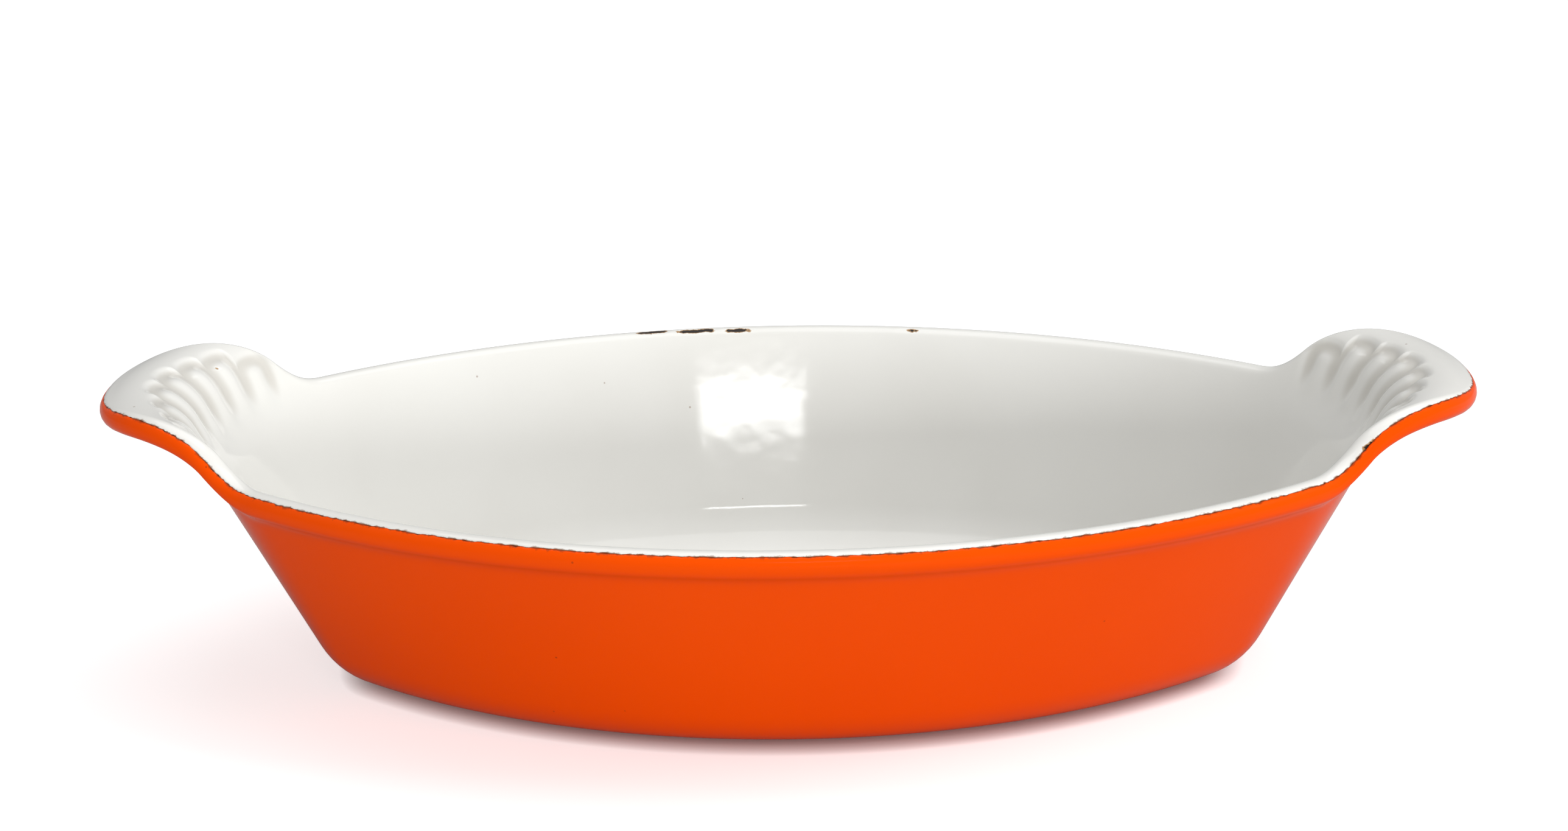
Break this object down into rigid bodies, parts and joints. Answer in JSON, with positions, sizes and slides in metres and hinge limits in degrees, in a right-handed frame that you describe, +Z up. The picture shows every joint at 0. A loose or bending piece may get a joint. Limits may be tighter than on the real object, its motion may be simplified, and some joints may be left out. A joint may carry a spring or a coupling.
{
  "type": "gratin dish",
  "caption": "Oval gratin dish of enamelled cast iron with sloping walls, a thick rolled rim and two fan-shaped end handles, for baking and serving.",
  "frame": {"origin": "centre of the flat base, on the surface that the dish stands on", "axes": "+X from the middle of the dish to one handle, +Z up out of the bowl"},
  "size_m": [0.3194, 0.174, 0.0714],
  "materials": {
    "casting": "rough cast",
    "ground_coat": "dark glossy enamel",
    "pale_enamel": "glossy enamel",
    "flame_enamel": "glossy enamel"
  },
  "bodies": {
    "root": {"iron_casting": "casting", "ground_coat": "ground_coat", "interior_enamel": "pale_enamel", "exterior_enamel": "flame_enamel"}
  },
  "joints": []
}
